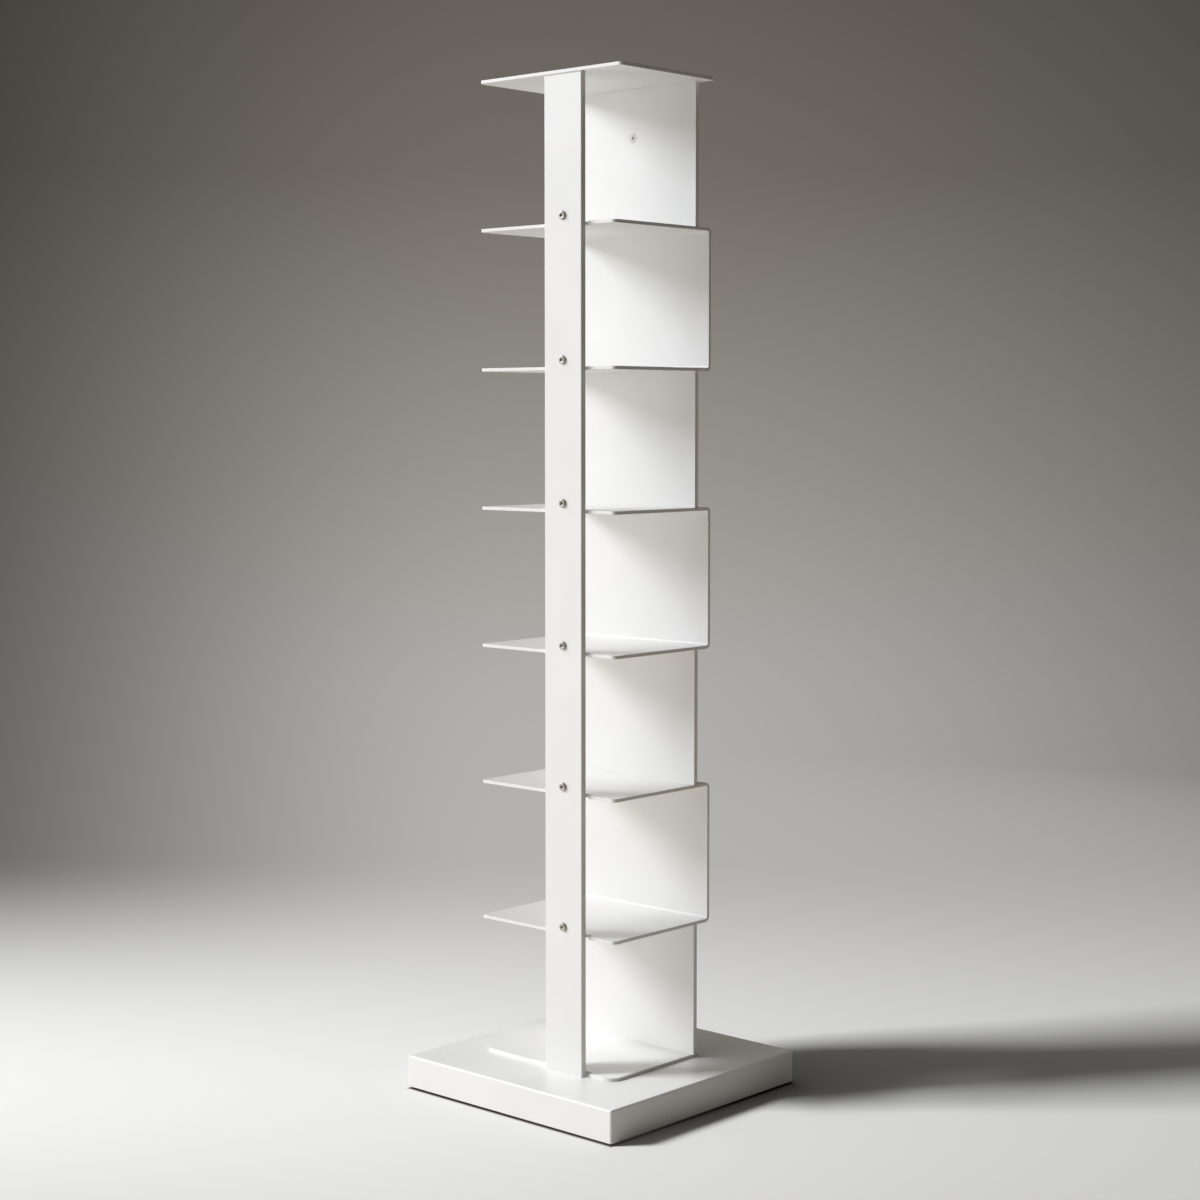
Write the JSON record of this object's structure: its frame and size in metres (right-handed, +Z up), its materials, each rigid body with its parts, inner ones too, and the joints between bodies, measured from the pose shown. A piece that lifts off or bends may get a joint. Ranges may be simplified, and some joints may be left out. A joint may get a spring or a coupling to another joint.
{
  "type": "spine bookshelf",
  "caption": "Narrow open tower bookshelf: a flat front bar on a square plinth carries bent sheet shelves, with inset back panels, a top plate and a bottom tray.",
  "frame": {"origin": "on the floor, under the middle of the plinth", "axes": "+Z up; +Y from the front bar to the back; +X to the right as seen from the front"},
  "size_m": [0.35, 0.35, 1.277],
  "materials": {
    "white_powder_coat": "white satin powder coat on sheet steel",
    "white_screw": "white painted socket screw",
    "nickel_screws": "nickel-plated button-head screws",
    "zinc_fasteners": "bright zinc-plated nuts, bolts and studs",
    "ballast_coat": "black primer on hot-rolled plate",
    "pad_rubber": "matt black rubber"
  },
  "bodies": {
    "root": {"plinth_shell": "white_powder_coat", "ballast_plate": "ballast_coat", "foot_pad_1": "pad_rubber", "foot_pad_2": "pad_rubber", "foot_pad_3": "pad_rubber", "foot_pad_4": "pad_rubber", "bottom_tray": "white_powder_coat", "tray_stud": "zinc_fasteners", "tray_nut": "zinc_fasteners", "spine_bar": "white_powder_coat", "bar_bolts": "zinc_fasteners", "shelf_unit_1": "white_powder_coat", "shelf_unit_2": "white_powder_coat", "shelf_unit_3": "white_powder_coat", "back_panel_1": "white_powder_coat", "back_panel_2": "white_powder_coat", "back_panel_3": "white_powder_coat", "back_panel_4": "white_powder_coat", "top_plate": "white_powder_coat", "top_screw": "white_screw", "spine_screws": "nickel_screws", "spine_nuts": "zinc_fasteners", "wall_tie_screw": "white_screw", "wall_tie_spacer": "zinc_fasteners"}
  },
  "joints": []
}
